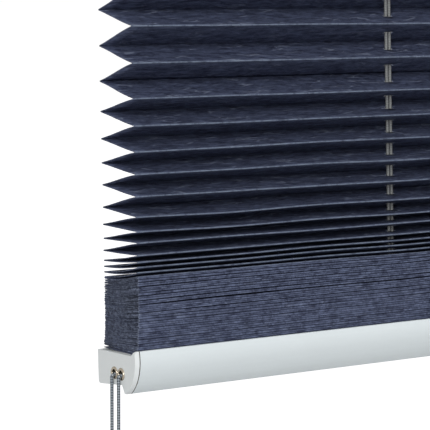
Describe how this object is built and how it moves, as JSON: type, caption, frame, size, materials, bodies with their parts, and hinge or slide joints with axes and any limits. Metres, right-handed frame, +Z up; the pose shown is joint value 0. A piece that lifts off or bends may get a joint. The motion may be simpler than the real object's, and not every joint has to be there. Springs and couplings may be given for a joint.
{
  "type": "pleated blind",
  "caption": "Tensioned pleated blind: a dark pleated cloth between a fixed head rail and a bottom rail that slides on taut cords run down to screwed shoes.",
  "frame": {"origin": "midway between the two clips, on the face that is screwed up against the lintel", "axes": "+X along the rails to the right, the front faces -Y, +Z up"},
  "size_m": [0.4208, 0.036, 0.2471],
  "materials": {
    "cloth": "matte crinkled weave",
    "cord": "matte braid",
    "rail": "satin anodised",
    "cap": "satin",
    "fitting": "satin",
    "eyelet": "polished",
    "steel": "bright",
    "shoe": "satin"
  },
  "bodies": {
    "head": {"pleated_fabric": "cloth", "head_rail": "rail", "top_strip": "fitting", "cord_left_outer": "cord", "cord_left_inner": "cord", "cord_right_outer": "cord", "cord_right_inner": "cord", "top_guide_left": "fitting", "head_cap_left": "cap", "joiner_left": "fitting", "spring_left": "steel", "anchor_left": "fitting", "clip_left": "steel", "shoe_body_left": "shoe", "shoe_base_left": "shoe", "cord_stop_left_front": "fitting", "cord_stop_left_back": "fitting", "top_guide_right": "fitting", "head_cap_right": "cap", "joiner_right": "fitting", "spring_right": "steel", "anchor_right": "fitting", "clip_right": "steel", "shoe_body_right": "shoe", "shoe_base_right": "shoe", "cord_stop_right_front": "fitting", "cord_stop_right_back": "fitting"},
    "lower_rail": {"bottom_rail": "rail", "bottom_strip": "fitting", "bottom_guide_left": "fitting", "bottom_cap_left": "cap", "eyelet_left_front": "eyelet", "eyelet_left_back": "eyelet", "bottom_guide_right": "fitting", "bottom_cap_right": "cap", "eyelet_right_front": "eyelet", "eyelet_right_back": "eyelet"}
  },
  "joints": [
    {"name": "rail_slide", "type": "slide", "parent": "head", "child": "lower_rail", "axis": [0, 0, 1], "range_m": [-0.015, 0.146], "deforming": ["pleated_fabric", "cord_left_outer", "cord_left_inner", "cord_right_outer", "cord_right_inner"]}
  ]
}
